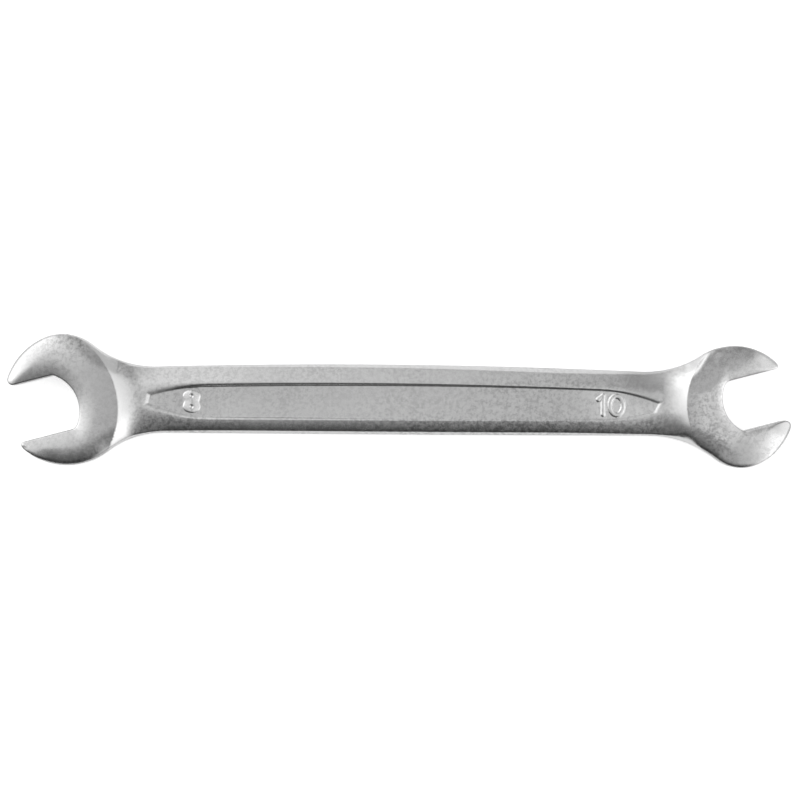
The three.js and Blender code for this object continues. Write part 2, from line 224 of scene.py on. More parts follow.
def headOutline(end):
    # The outline of one head in three runs of arcs: short jaw side, slot with both tips, long jaw side. Then
    # the two sides again, carried on past their tips, which the surface is measured from. All of it is put
    # in place by turn * (point + half the spacing of the heads).
    jaw, right, full = wrench["jawAngle"], math.pi / 2, 2 * math.pi
    backAngle, beyond = wrench["backArcAngle"], wrench["arcOverrun"]
    along, across = polar(jaw), polar(jaw + right)
    shortNeck, shortRadius = end["shortNeckRadius"], end["shortJawRadius"]
    longNeck, longRadius, backRadius = end["longNeckRadius"], end["longJawRadius"], end["longJawBackRadius"]
    shortFlat = end["slotShift"] + end["opening"] / 2
    longFlat = end["slotShift"] - end["opening"] / 2
    shortCentre = np.array([-end["shortJawSetback"], 0.0])
    front = np.array([-end["longJawSetback"], 0.0])
    back = front + (longRadius - backRadius) * polar(backAngle)
    throat = (end["throatRadius"] - end["throatDepth"]) * along + end["throatShift"] * across
    shortMiddle, shortShank, shortHead, shortTouch = fillet(end, 1, shortNeck, shortCentre, shortRadius)
    longMiddle, longShank, longHead, longTouch = fillet(end, -1, longNeck, back, backRadius)
    shortTip = corner(shortFlat, 1, end["shortTipRadius"], shortCentre, shortRadius, 1)
    longTip = corner(longFlat, -1, end["longTipRadius"], front, longRadius, 1)
    turnIn = corner(shortFlat, -1, end["throatCorner"], throat, end["throatRadius"], -1)
    shortAngle = angleOf(shortCentre, shortTip)
    turnAngle = angleOf(throat, turnIn) % full
    throatEnd = math.pi + jaw + math.asin((throat @ across - longFlat) / end["throatRadius"])
    longAngle = angleOf(front, longTip)
    shortFillet = arc(shortMiddle, shortNeck, shortShank, shortHead)
    longBack = [
        arc(back, backRadius, backAngle, longTouch - full if longTouch > 0 else longTouch),
        arc(longMiddle, longNeck, longHead, longShank),
    ]
    drawn = {
        "short": [shortFillet, arc(shortCentre, shortRadius, shortTouch, shortAngle)],
        "slot": [
            arc(shortTip, end["shortTipRadius"], shortAngle, jaw - right),
            arc(turnIn, end["throatCorner"], jaw + right, turnAngle),
            arc(throat, end["throatRadius"], turnAngle, throatEnd),
            arc(longTip, end["longTipRadius"], jaw + right, longAngle),
        ],
        "long": [arc(front, longRadius, longAngle, backAngle), *longBack],
        "shortOn": [shortFillet, arc(shortCentre, shortRadius, shortTouch, shortAngle - beyond)],
        "longOn": [arc(front, longRadius, longAngle + beyond, backAngle), *longBack],
    }
    shift = np.array([wrench["headSpacing"] / 2, 0.0])
    runs = {name: end["turn"] * (np.concatenate(run) + shift) for name, run in drawn.items()}
    runs["slot"] = np.concatenate([runs["short"][-1:], runs["slot"], runs["long"][:1]])
    return runs


def spaced(line, spacing):
    # the same line with points no further apart than the spacing, and no two in one place
    gaps = np.linalg.norm(np.diff(line, axis=0), axis=1)
    line = line[np.concatenate([[True], gaps > meshing["samePlace"]])]
    gaps = np.linalg.norm(np.diff(line, axis=0), axis=1)
    parts = np.maximum(1, np.ceil(gaps / spacing)).astype(int)
    first = np.repeat(np.arange(len(gaps)), parts)
    step = np.arange(parts.sum()) - np.repeat(np.cumsum(parts) - parts, parts)
    share = (step / np.repeat(parts, parts))[:, None]
    return np.concatenate([line[first] * (1 - share) + line[first + 1] * share, line[-1:]])


def shankEdge(edge, start, stop):
    # even points along an edge's parabola, between the ends of two fillets
    count = math.ceil(abs(stop[0] - start[0]) / meshing["edgeSpacing"]) + 1
    x = np.linspace(start[0], stop[0], count)[1:-1]
    return np.stack([x, edgeHeight(edge, x)], 1)


# The whole outline as one ring, with the way inwards at each of its points, and the long edges on their own
small, large = headOutline(smallEnd), headOutline(largeEnd)
lowerEdge = shankEdge(wrench["lowerEdge"], small["long"][-1], large["short"][0])
upperEdge = shankEdge(wrench["upperEdge"], large["long"][-1], small["short"][0])
lowerSide = spaced(np.concatenate([small["long"], lowerEdge, large["short"]]), meshing["edgeSpacing"])
upperSide = spaced(np.concatenate([large["long"], upperEdge, small["short"]]), meshing["edgeSpacing"])
slotRuns = [spaced(head["slot"], meshing["slotSpacing"]) for head in (large, small)]
outerRuns = [
    np.concatenate([small["longOn"], lowerEdge, large["shortOn"]]),
    np.concatenate([large["longOn"], upperEdge, small["shortOn"]]),
]
loop = np.concatenate([lowerSide[:-1], slotRuns[0][:-1], upperSide[:-1], slotRuns[1][:-1]])
tangent = np.roll(loop, -1, 0) - np.roll(loop, 1, 0)
tangent /= np.linalg.norm(tangent, axis=1)[:, None]
area = (loop[:, 0] * np.roll(loop[:, 1], -1) - np.roll(loop[:, 0], -1) * loop[:, 1]).sum() / 2
inward = np.stack([-tangent[:, 1], tangent[:, 0]], 1) * np.sign(area)
print("outline", len(loop), "points, area", round(abs(area), 1))


def distance(points, line):
    # the shortest way from each point to a chain of straight pieces, worked out in blocks
    a, d = line[:-1], np.diff(line, axis=0)
    size = (d ** 2).sum(1)
    out = np.empty(len(points))
    block = meshing["block"]
    for i in range(0, len(points), block):
        rel = points[i:i + block, None] - a
        share = np.clip((rel * d).sum(2) / size, 0, 1)
        out[i:i + block] = np.sqrt(((rel - share[..., None] * d) ** 2).sum(2).min(1))
    return out


def inside(points, ring):
    # even and odd crossings of a line drawn towards +X from each point
    a, b = ring, np.roll(ring, -1, 0)
    out = np.empty(len(points), bool)
    block = meshing["block"]
    for i in range(0, len(points), block):
        x, y = points[i:i + block, 0, None], points[i:i + block, 1, None]
        crosses = (a[:, 1] > y) != (b[:, 1] > y)
        with np.errstate(divide="ignore", invalid="ignore"):
            at = a[:, 0] + (y - a[:, 1]) / (b[:, 1] - a[:, 1]) * (b[:, 0] - a[:, 0])
        out[i:i + block] = (crosses & (x < at)).sum(1) % 2 == 1
    return out


def mix(low, high, share):
    # low + (high - low) share
    return low + (high - low) * share


def smooth(value):
    # v^2 (3 - 2 v), with v held between 0 and 1
    value = np.clip(value, 0, 1)
    return value * value * (3 - 2 * value)


def softMin(a, b, radius):
    # the lower of two heights, with the crease between them rounded over
    near = np.maximum(radius - np.abs(a - b), 0) / radius
    return np.minimum(a, b) - near ** 2 * radius / 4


def softMax(a, b, radius):
    # the higher of two heights, rounded over in the same way
    return -softMin(-a, -b, radius)


def crown(d, width, drop):
    # drop (1 - d / width)^2, down to nothing at the width
    return drop * np.maximum(0, 1 - d / width) ** 2


def railCrown(d, width, drop, steepest):
    # as a crown, but once the slope 2 drop / width (1 - d / width) reaches the steepest it stays there
    along = np.maximum(0, 1 - d / width)
    bend = np.minimum(along, steepest * width / (2 * drop))
    return drop * bend ** 2 + steepest * width * (along - bend)


def roundOff(d, radius):
    # what a quarter circle takes off a square edge at a distance d from it
    return radius * (1 - np.sqrt(1 - np.maximum(0, 1 - d / radius) ** 2))


def fromHead(x):
    # how far each point is from the centre of the nearer head, along the shank
    return wrench["headSpacing"] / 2 - np.abs(x)


def ofHead(x, key):
    # a named value of the nearer head at each point, or the two rows of a named pair
    return np.where(x > 0, *(np.array(end[key])[..., None] for end in (smallEnd, largeEnd)))


def alongSpan(x, pair):
    # an even change along the shank from the pair's left value to its right one
    return np.interp(x, wrench["span"], pair)


def fadeOut(value, run):
    # 1 before a run, 0 after it, and smooth between
    start, stop = run
    return 1 - smooth((value - start) / (stop - start))


def crest(x):
    # half the shank's thickness over its middle, which grows smoothly away from each neck
    share = smooth((fromHead(x) - wrench["neckStart"]) / wrench["neckRun"])
    return mix(ofHead(x, "halfNeck"), wrench["halfShank"], share)


# A pair is for the left and the right: the depth at the two ends of its own span, the wall's width and its
# soft edge at those of the shank's span, and the slant of each nose
panel = {
    "depth": (0.52, 0.24), "depthSpan": (-20.0, 35.0), "bowl": 0.045,
    "wall": (0.38, 0.24), "soft": (0.34, 0.2), "foot": 0.05,
    "noseDepth": 0.16, "depthRun": 15.0, "noseWall": 0.4, "noseSlant": (-0.25, 0.5), "noseSoft": 0.2,
    "upperRail": 3.85, "lowerRail": 2.95,
    "noseLength": 11.5, "noseHalf": 1.0,
    "largeReach": 49.7, "smallReach": 50.3,
    "largeRise": 0.5, "smallRise": -0.2,
}


def panelAt(x):
    # the panel's middle line and half width along the shank, closing to a nose at each end as a parabola
    upper = edgeHeight(wrench["upperEdge"], x) - panel["upperRail"]
    lower = edgeHeight(wrench["lowerEdge"], x) + panel["lowerRail"]
    fromLarge, fromSmall = x + panel["largeReach"], panel["smallReach"] - x
    fromNose = np.minimum(fromLarge, fromSmall)
    rise = np.where(fromLarge < fromSmall, panel["largeRise"], panel["smallRise"])
    nose = np.clip(1 - fromNose / panel["noseLength"], 0, 1) ** 2
    half = (upper - lower) / 2 * (1 - nose) + panel["noseHalf"] * nose
    return (upper + lower) / 2 + rise * nose, half, fromNose


numerals = {
    "height": 4.35, "width": 3.3, "stroke": 0.72,
    "rise": 0.4, "spread": 0.1,                      # off the floor, and past half a stroke's width
    "eight": -41.0, "one": 39.45, "zero": 42.05,     # their places along the shank
    "flagReach": 1.15, "flagDrop": 0.95, "flagTrim": (0.2, 0.15),
    "eightHalf": 1.72, "loop": 1.05, "waist": 0.24,  # the worn 8: half its width, its loops and its waist
    "ridge": 0.15, "brow": 0.25, "browEdge": 0.1,    # its roof's blunt ridge, and its low edge
    "counter": (0.42, 0.5), "counterDepth": 0.5,     # the pits for its two holes
    "leastHalf": 1e-3,                               # keeps the roof's formula from a division by 0
}


def ellipseDistance(x, y, width, height):
    # how far a point is from an oval line, to first order: |f - 1| f / |gradient of f^2 / 2|
    a, b, tiny = width / 2, height / 2, 1e-9
    f = np.sqrt((x / a) ** 2 + (y / b) ** 2) + tiny
    return np.abs(f - 1) * f / np.sqrt((x / a ** 2) ** 2 + (y / b ** 2) ** 2 + tiny)


def wornEight(u, v):
    # A roof, 1 - |u| / half width, over two round loops with a waist between them. It stands on a low edge
    # and has two shallow oval pits for the holes of the 8.
    n = numerals
    reach = n["height"] / 2 - n["loop"]
    halfWide = n["eightHalf"] * np.sqrt(np.clip(1 - (np.maximum(0, v - n["loop"]) / reach) ** 2, 0, 1))
    halfWide = halfWide - n["waist"] * smooth(1 - v / n["loop"])
    roof = 1 - np.hypot(u, n["ridge"]) / np.maximum(halfWide, n["leastHalf"])
    rise = np.maximum(0, n["brow"] * smooth(roof / n["browEdge"]) + (1 - n["brow"]) * roof)
    counter = 1 - (u / n["counter"][0]) ** 2 - ((v - n["loop"]) / n["counter"][1]) ** 2
    return np.maximum(0, rise - n["counterDepth"] * np.maximum(0, counter))


def numeralRise(x, y):
    # How much of its rise a numeral has: over the 1 and the 0, whose strokes are thin, a round bead,
    # sqrt(1 - (away / half)^2), and over the 8 its roof
    n = numerals
    thick = n["stroke"]
    zero = ellipseDistance(x - n["zero"], y, n["width"] - thick, n["height"] - thick)
    points = np.stack([x - n["one"], y], 1)
    top = (n["height"] - thick) / 2
    trimAlong, trimDown = n["flagTrim"]
    stem = np.array([[0, -top], [0, top]])
    flag = np.array([[0, top], [-n["flagReach"] + trimAlong, top + thick / 2 - n["flagDrop"] - trimDown]])
    one = np.minimum(distance(points, stem), distance(points, flag))
    thin = np.minimum(zero, one) / (thick / 2 + n["spread"])
    eight = wornEight(x - n["eight"], np.abs(y))
    return np.maximum(eight, np.sqrt(np.maximum(0, 1 - thin ** 2)))


def stepCentre(end):
    # the centre of the arc that ends a head's face towards the neck
    reach = wrench["headSpacing"] / 2 + end["stepRadius"] - end["stepReach"]
    return end["turn"] * np.array([reach, end["stepShift"]])


def pastStep(end, points):
    # how far a point is beyond that arc: |point - centre| - radius
    return np.linalg.norm(points - stepCentre(end), axis=1) - end["stepRadius"]


def faceCrown(end, points, outer):
    # a face's crown towards its outer edge, which fades near a few places
    drop = crown(outer, end["crownWidth"], end["crownDrop"])
    for x, y, radius, share in wrench["crownFades"]:
        away = np.hypot(points[:, 0] - x, points[:, 1] - y)
        drop = drop * (1 - share * smooth((radius - away) / (wrench["crownFadeShare"] * radius)))
    return drop


def faceHeight(end, past, drop, slot):
    # a face crowned towards its outer edge and, less, towards its slot, which drops steeply past its arc
    face = wrench["halfHead"] - np.hypot(drop, crown(slot, end["slotCrownWidth"], end["slotCrownDrop"]))
    return face - wrench["stepWall"] * np.maximum(0, past)


def neckRise(end, past):
    # What the ramp below a face's arc adds to the neck: (1 - t) (1 - hollow t) of the step's height, where t
    # goes from 0 at the arc to 1 at the ramp's foot, and less again under the face itself
    t = np.clip(past / end["stepWidth"], 0, 1)
    step = wrench["halfHead"] - end["halfNeck"]
    return step * (1 - t) * (1 - end["stepHollow"] * t) + np.minimum(0, past)


def railFall(x, outer, over):
    # What a rail takes off the crest. Its width and drop turn from the neck's into the lower rail's along
    # the shank, and from those into the upper rail's across it.
    onNeck = fadeOut(fromHead(x), wrench["neckRailRun"])
    lowerWidth = mix(alongSpan(x, wrench["lowerRailWidth"]), ofHead(x, "neckRailWidth"), onNeck)
    lowerDrop = mix(wrench["lowerRailDrop"], ofHead(x, "neckRailDrop"), onNeck)
    width = mix(lowerWidth, alongSpan(x, wrench["upperRailWidth"]), over)
    drop = mix(lowerDrop, alongSpan(x, wrench["upperRailDrop"]), over)
    return railCrown(outer, width, drop, wrench["railSteepest"])


def bodyHeight(points, outer, slots, over):
    # The shank under its rails, raised by a ramp to each head's face, where the rail gives way to the face's
    # own crown. The second height is that of the face alone, carried on over the neck.
    x = points[:, 0]
    rail = railFall(x, outer, over)
    body = face = crest(x) - rail
    for end, slot in zip((largeEnd, smallEnd), slots):
        near = x * end["turn"] > 0
        past = pastStep(end, points)
        drop = faceCrown(end, points, outer)
        face = np.where(near, wrench["halfHead"] - drop, face)
        onRamp = smooth(past / mix(*end["rampBlend"], over))
        neck = crest(x) - mix(drop, rail, onRamp) + neckRise(end, past)
        risen = softMax(neck, faceHeight(end, past, drop, slot), wrench["stepSoft"])
        body = np.where(near, np.minimum(risen, wrench["halfHead"]), body)
    return body, face


def trimFlank(body, face, x, outer, over):
    # The flank trims the body. It is land + slope * (distance from the edge), and near a face it turns into
    # a bevel, face - slope * (width - distance). A fine groove runs along its top at each neck.
    landStart = mix(*ofHead(x, "landStart"), over)
    neckLand = mix(*ofHead(x, "neckLand"), over)
    neckSlope = mix(*ofHead(x, "neckFlank"), over)
    byFace = 1 - smooth((fromHead(x) - landStart) / wrench["landRun"])
    onShank = np.interp(fromHead(x), wrench["flankRun"], (0, 1))
    shankSlope = mix(wrench["flankSlope"], alongSpan(x, wrench["upperFlankSlope"]), over)
    flank = mix(neckLand, wrench["landHalf"], onShank) + mix(neckSlope, shankSlope, onShank) * outer
    flank = mix(flank, face + wrench["bevelSlope"] * (outer - wrench["bevelWidth"]), byFace)
    groove = wrench["creaseDepth"] * (1 - byFace) * fadeOut(fromHead(x), wrench["creaseRun"])
    groove = groove * np.exp(-((body - flank) / wrench["creaseSpread"]) ** 2)
    return softMin(body, flank, wrench["railSoft"] * (1 - wrench["railSoftLoss"] * byFace)) - groove


def panelFloor(x, y, side):
    # The panel's floor: the crest less its depth, or less what the numerals leave of that depth, or less the
    # depth times the way down its walls. It is bowed a little across, and shallow at each nose.
    middle, half, fromNose = panelAt(x)
    off = y - middle
    slant = np.where(x > 0, panel["noseSlant"][1], panel["noseSlant"][0])
    fromWall = (half - np.abs(off)) / alongSpan(x, panel["wall"])
    sunk = softMin(fromWall, (fromNose + slant * off) / panel["noseWall"], panel["noseSoft"])
    deep = np.interp(x, panel["depthSpan"], panel["depth"]) - panel["bowl"] * ((off / half) ** 2 - 1)
    deep = mix(deep, panel["noseDepth"], 1 - smooth(fromNose / panel["depthRun"]))
    numeral = deep - numerals["rise"] * numeralRise(x, side * off)
    return crest(x) - softMin(deep * sunk, numeral, panel["foot"])


def halfHeight(points, outer, slots, side):
    # Half the thickness at every point of the plan: the body, trimmed by its flank, with the panel cut in
    # and its edges rounded off
    x, y = points.T
    over = smooth((y + wrench["blendHalf"]) / (2 * wrench["blendHalf"]))
    body, face = bodyHeight(points, outer, slots, over)
    body = trimFlank(body, face, x, outer, over)
    body = softMin(body, panelFloor(x, y, side), alongSpan(x, panel["soft"]))
    rounding = np.clip(body / wrench["roundFull"], wrench["roundLeast"], 1)
    body = body - roundOff(outer, wrench["edgeRound"]) * rounding
    body = body - roundOff(np.minimum(*slots), wrench["slotRound"])
    return np.maximum(body, wrench["leastHalf"])


# Places are given as centre, radius and soft edge, and a patch of painted shade also by its share and by
# whether it lies on a head's face or off it
skin = {
    "paintedShadePatches": (
        (57.3, 8.2, 6.2, 0.7, 1.0, True),
        (66.5, -9.5, 4.5, 3.5, 0.7, True),
        (64.0, 11.5, 6.0, 2.5, 0.9, True),
        (74.5, -3.6, 3.0, 2.0, 1.0, True),
        (47.5, 4.5, 7.0, 5.5, 0.8, False),
    ),
    # a spot where the face's painted shade is lifted, a painted highlight
    "paintedHighlightSpot": (-66.0, 12.5, 9.0, 7.0),
    "faceEdge": 0.3,                # over which a face's painted shade ends at its arc
    "floorPaintedShade": (                  # places along the panel's floor, and how much painted shade it has there
        (-20, -8, 25, 31, 35, 39),
        (0.4, 0.25, 0.3, 0.5, 0.5, 0.12),
    ),
    "floorEdge": 0.6,               # over which the floor's painted shade comes in, off the panel's walls
    "leastPits": 0.35, "floorPits": 0.5, "facePits": 0.5, "railPits": 0.85,
    "railTop": -2.0, "railEdge": 1.5,      # the lower rail's pits come in below this height
    "railRun": (13.0, 16.0),               # and over this run from a head's centre
    "rampPitRun": 3.6, "facePitRun": 9.0,  # from a face's arc, down the ramp and into the face
}


def spot(x, y, place):
    # 1 within a radius, less its soft edge, and down to 0 at the radius
    centreX, centreY, radius, edge = place
    return smooth((radius - np.hypot(x - centreX, y - centreY)) / edge)


def skinAt(points):
    # How much painted shade each point has, which stands in for darker reflections: a head's face in part,
    # less where a painted highlight lifts it, the panel's floor in part, and the patches of painted shade.
    # And how much its skin is pitted, which sets both the pits' bumps and their painted shade: most along
    # the lower rail and by the arc of a face, less on the panel's floor, least on the ramps below a face.
    x, y = points.T
    past = np.minimum(pastStep(largeEnd, points), pastStep(smallEnd, points))
    onFace = smooth(0.5 - past / skin["faceEdge"])
    # painted shade over a head's face, standing in for darker reflections, strongest by its arc
    atArc, within = ofHead(x, "facePaintedShade")
    faceShade = mix(atArc, within, smooth(-past / ofHead(x, "facePaintedShadeRun")))
    paintedShade = (1 - spot(x, y, skin["paintedHighlightSpot"])) * faceShade * onFace
    # patches of painted shade, standing in for darker reflections
    for *place, share, isOnFace in skin["paintedShadePatches"]:
        paintedShade = np.maximum(paintedShade, spot(x, y, place) * share * (onFace if isOnFace else 1 - onFace))
    # painted shade over the sunk panel's floor
    middle, half, fromNose = panelAt(x)
    inPanel = smooth(np.minimum(half - np.abs(y - middle), fromNose) / skin["floorEdge"])
    paintedShade = np.maximum(paintedShade, inPanel * np.interp(x, *skin["floorPaintedShade"]))
    onRail = smooth((skin["railTop"] - y) / skin["railEdge"]) * (1 - fadeOut(fromHead(x), skin["railRun"]))
    pits = np.maximum(skin["leastPits"], skin["floorPits"] * inPanel)
    pits = np.maximum(pits, skin["railPits"] * onRail) * smooth(past / skin["rampPitRun"])
    facePits = mix(skin["facePits"], 1, smooth(1 + past / skin["facePitRun"]))
    return paintedShade, np.where(past > 0, pits, facePits)


def gridOf(xs, ys, stagger):
    # a grid of points whose every other row is moved along
    x, y = np.meshgrid(xs, ys)
    x = x + stagger * (np.arange(x.shape[0]) % 2)[:, None]
    return x.ravel(), y.ravel()


def stepRows(end):
    # arcs beside the one that ends a head's face, and beside the foot of its ramp
    facing = math.pi if end["turn"] > 0 else 0.0
    start, stop = facing - meshing["stepHalfAngle"], facing + meshing["stepHalfAngle"]
    offsets = (*meshing["stepOffsets"], *(end["stepWidth"] + offset for offset in meshing["footOffsets"]))
    for offset in offsets:
        radius = end["stepRadius"] + offset
        yield arc(stepCentre(end), radius, start, stop, meshing["stepSpacing"]), meshing["stepClear"]


def wallRows():
    # lines beside the panel's two long walls, and across it beside its noses
    x = np.arange(-panel["largeReach"], panel["smallReach"], meshing["wallSpacing"])
    middle, half, fromNose = panelAt(x)
    share = np.linspace(-1, 1, meshing["noseCount"])
    for offset in meshing["wallOffsets"]:
        for sign in (-1, 1):
            line = np.stack([x, middle + sign * (half - offset)], 1)
            yield line[fromNose > offset], meshing["wallClear"]
        for reach in (-panel["largeReach"] + offset, panel["smallReach"] - offset):
            noseMiddle, noseHalf, _ = panelAt(np.array([reach]))
            y = noseMiddle + share * (noseHalf - max(0, offset))
            yield np.stack([np.full(len(share), reach), y], 1), meshing["wallClear"]


def numeralGrids():
    # a fine grid over the numerals at each end of the panel
    spacing, half = meshing["numeralSpacing"], meshing["numeralHalf"]
    for low, high in meshing["numeralBoxes"]:
        x, y = gridOf(np.arange(low, high, spacing), np.arange(-half, half, spacing), spacing / 2)
        yield np.stack([x, y + panelAt(x)[0]], 1), meshing["numeralClear"]


def evenGrid():
    # an even grid over everything but the panel's walls
    (reachX, reachY), (stepX, stepY) = meshing["gridReach"], meshing["gridSpacing"]
    x, y = gridOf(np.arange(-reachX, reachX, stepX), np.arange(-reachY, reachY, stepY), stepX / 2)
    middle, half, fromNose = panelAt(x)
    offWall = half - np.abs(y - middle)
    outside, within = meshing["gridGap"]
    clear = (fromNose < outside) | (offWall < outside) | (offWall > within)
    return np.stack([x, y], 1)[clear], meshing["gridClear"]


def planPoints():
    # Where the surface is worked out: rings that follow the outline, then the rows and grids above. A point
    # that comes nearer to the outline than its row allows is left out.
    rings = [(loop + offset * inward, offset * meshing["ringShare"]) for offset in meshing["ringOffsets"]]
    rows = [*rings, *stepRows(largeEnd), *stepRows(smallEnd), *wallRows(), *numeralGrids(), evenGrid()]
    points = np.concatenate([row for row, _ in rows])
    least = np.concatenate([np.full(len(row), distanceKept) for row, distanceKept in rows])
    within = inside(points, loop)
    points, least = points[within], least[within]
    edge = np.minimum.reduce([distance(points, run) for run in outerRuns + slotRuns])
    return points[edge >= least]


def splitPlan():
    # The plan as triangles that face up, with the outline kept as their border. The border's points are
    # found again by the point that each given one became.
    border = loop + wrench["inset"] * inward
    points = np.concatenate([border, planPoints()])
    count = len(border)
    edges = [(i, (i + 1) % count) for i in range(count)]
    verts, _, faces, source, _, _ = delaunay_2d_cdt(points.tolist(), edges, [], 1, meshing["weld"])
    plan = np.array([tuple(v) for v in verts])
    faces = np.array(faces)
    became = np.empty(len(points), int)
    given = np.fromiter(itertools.chain.from_iterable(source), int)
    became[given] = np.repeat(np.arange(len(source)), [len(origin) for origin in source])
    first, second, third = plan[faces].transpose(1, 0, 2)
    if np.cross(second - first, third - first).sum() < 0:
        faces = faces[:, ::-1]
    print("plan", len(plan), "points,", len(faces), "triangles a face")
    return plan, faces, became[:count]


def edgeDistances(plan, ring):
    # how far each point is from the outer edge and from each slot, and exactly 0 for the border's own points
    onRing = np.zeros(len(plan), bool)
    onRing[ring] = True
    outer = np.minimum.reduce([distance(plan, run) for run in outerRuns])
    slots = [distance(plan, run) for run in slotRuns]
    return [np.where(onRing & (away < meshing["onEdge"]), 0, away) for away in (outer, *slots)]


def forgedBody(name):
    # Each point of the plan is given its height over and under the middle plane, and a wall joins the two
    # faces round the outline.
    plan, faces, ring = splitPlan()
    size = len(plan)
    outer, *slots = edgeDistances(plan, ring)
    low, high = (np.array(v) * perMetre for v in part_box("wrench_forging"))
    centre = (low + high) / 2
    xy = plan + centre[:2] - (loop.min(0) + loop.max(0)) / 2
    top = np.column_stack([xy, centre[2] + halfHeight(plan, outer, slots, 1)])
    bottom = np.column_stack([xy, centre[2] - halfHeight(plan, outer, slots, -1)])
    nextRing = np.roll(ring, -1)
    if area < 0:
        ring, nextRing = nextRing, ring
    wall = np.concatenate([
        np.stack([ring, ring + size, nextRing + size], 1),
        np.stack([ring, nextRing + size, nextRing], 1),
    ])
    allFaces = np.concatenate([faces, faces[:, ::-1] + size, wall])
    mesh = bpy.data.meshes.new(name)
    mesh.vertices.add(2 * size)
    mesh.vertices.foreach_set("co", (np.concatenate([top, bottom]) / perMetre).ravel().astype(np.float32))
    mesh.loops.add(allFaces.size)
    mesh.loops.foreach_set("vertex_index", allFaces.ravel().astype(np.int32))
    mesh.polygons.add(len(allFaces))
    mesh.polygons.foreach_set("loop_start", np.arange(0, allFaces.size, 3, dtype=np.int32))
    mesh.update(calc_edges=True)
    for key, value in zip(("paintedShade", "pitting"), skinAt(plan)):
        layer = mesh.attributes.new(key, "FLOAT", "POINT")
        layer.data.foreach_set("value", np.concatenate([value, value]).astype(np.float32))
    mesh.validate()
    mesh.shade_smooth()
    piece = bpy.data.objects.new(name, mesh)
    bpy.context.scene.collection.objects.link(piece)
    print("forging", len(allFaces), "triangles")
    return piece


def linear(code):
    # an sRGB hex colour as the linear values that a shader takes, by the curve of the sRGB standard
    value = np.array([int(code[i:i + 2], 16) for i in (1, 3, 5)]) / 255
    value = np.where(value <= 0.04045, value / 12.92, ((value + 0.055) / 1.055) ** 2.4)
    return (*value.tolist(), 1.0)


def addNode(tree, kind, settings=None, links=None, **values):
    # a node with its properties, the constants on its inputs and what is linked into it
    node = tree.nodes.new(kind)
    for key, value in (settings or {}).items():
        setattr(node, key, value)
    for key, value in values.items():
        node.inputs[key].default_value = value
    for key, source in (links or {}).items():
        tree.links.new(source, node.inputs[key])
    return node


# A pattern is given as size in millimetres, detail and roughness, and a ramp as from, from, to, to
chrome = {
    "colour": "#e6e6e6", "paintedShadeColour": "#c4c4c4",  # bright skin, and the painted shade that stands in for darker reflections
    "pitShadeColour": "#bababa",                        # painted shade in the pits, which trap some light
    "grain": (0.36, 3.0, 0.7),                     # the pits that tumbling leaves, coarse enough to show
    "patch": (9.0, 2.0, 0.5),                      # where there are more or fewer of them
    "wave": (3.2, 1.5, 0.45),                      # the forged skin's shallow waves under them
    "grainHeight": 0.014, "waveHeight": 0.042,
    "patchRamp": (0.36, 0.62, 0.35, 1.2),
    "pitShadeRamp": (0.56, 0.38, 0.0, 1.0),
    "roughnessRamp": (0.3, 0.7, 0.15, 0.26),
}


def satinChrome():
    # Satin chrome over a tumbled forging: bright metal whose skin is finely pitted and slightly wavy, so
    # that reflections break up into a soft, clouded grey, with painted shade where reflections are darker
    # and in its pits
    material = bpy.data.materials.new("satin_chrome_on_forged_steel")
    material.use_nodes = True
    tree = material.node_tree
    tree.nodes.clear()
    place = addNode(tree, "ShaderNodeTexCoord").outputs["Object"]
    paintedShade = addNode(tree, "ShaderNodeAttribute", {"attribute_name": "paintedShade"}).outputs["Fac"]
    pitting = addNode(tree, "ShaderNodeAttribute", {"attribute_name": "pitting"}).outputs["Fac"]
    noise = {}
    for name in ("grain", "patch", "wave"):
        size, detail, roughness = chrome[name]
        noise[name] = addNode(tree, "ShaderNodeTexNoise", links={"Vector": place},
                              Scale=perMetre / size / 2, Detail=detail, Roughness=roughness).outputs["Fac"]
    level = {}
    for name, pattern in (("patchRamp", "patch"), ("pitShadeRamp", "grain"), ("roughnessRamp", "grain")):
        level[name] = addNode(tree, "ShaderNodeMapRange", links={"Value": noise[pattern]},
                              **dict(zip(rampInputs, chrome[name]))).outputs["Result"]
    product = {"operation": "MULTIPLY"}
    amount = addNode(tree, "ShaderNodeMath", product, {0: level["patchRamp"], 1: pitting}).outputs[0]
    pitShade = addNode(tree, "ShaderNodeMath", product, {0: level["pitShadeRamp"], 1: amount}).outputs[0]
    waved = addNode(tree, "ShaderNodeBump", links={"Height": noise["wave"]},
                    Strength=1.0, Distance=chrome["waveHeight"] / perMetre)
    pits = addNode(tree, "ShaderNodeBump",
                   links={"Strength": amount, "Height": noise["grain"], "Normal": waved.outputs["Normal"]},
                   Distance=chrome["grainHeight"] / perMetre)
    # sockets 6 and 7 of a colour mix are the two colours, and 0 the share of the second
    # the skin's colour darkened by its painted shade, darker reflections painted into it
    shadedTone = addNode(tree, "ShaderNodeMix", {"data_type": "RGBA"}, {0: paintedShade})
    shadedTone.inputs[6].default_value = linear(chrome["colour"])
    shadedTone.inputs[7].default_value = linear(chrome["paintedShadeColour"])
    # painted shade in the pits: the colour darkens where the grain is low, as much as the pitting allows
    pitted = addNode(tree, "ShaderNodeMix", {"data_type": "RGBA"}, {0: pitShade, 6: shadedTone.outputs[2]})
    pitted.inputs[7].default_value = linear(chrome["pitShadeColour"])
    shader = addNode(tree, "ShaderNodeBsdfPrincipled", links={
        "Base Color": pitted.outputs[2],
        "Roughness": level["roughnessRamp"],
        "Normal": pits.outputs["Normal"],
    }, Metallic=1.0)
    addNode(tree, "ShaderNodeOutputMaterial", links={"Surface": shader.outputs["BSDF"]})
    return material


forging = forgedBody("forged_wrench")
forging.data.materials.append(satinChrome())
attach(forging, "root")
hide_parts("wrench_forging")

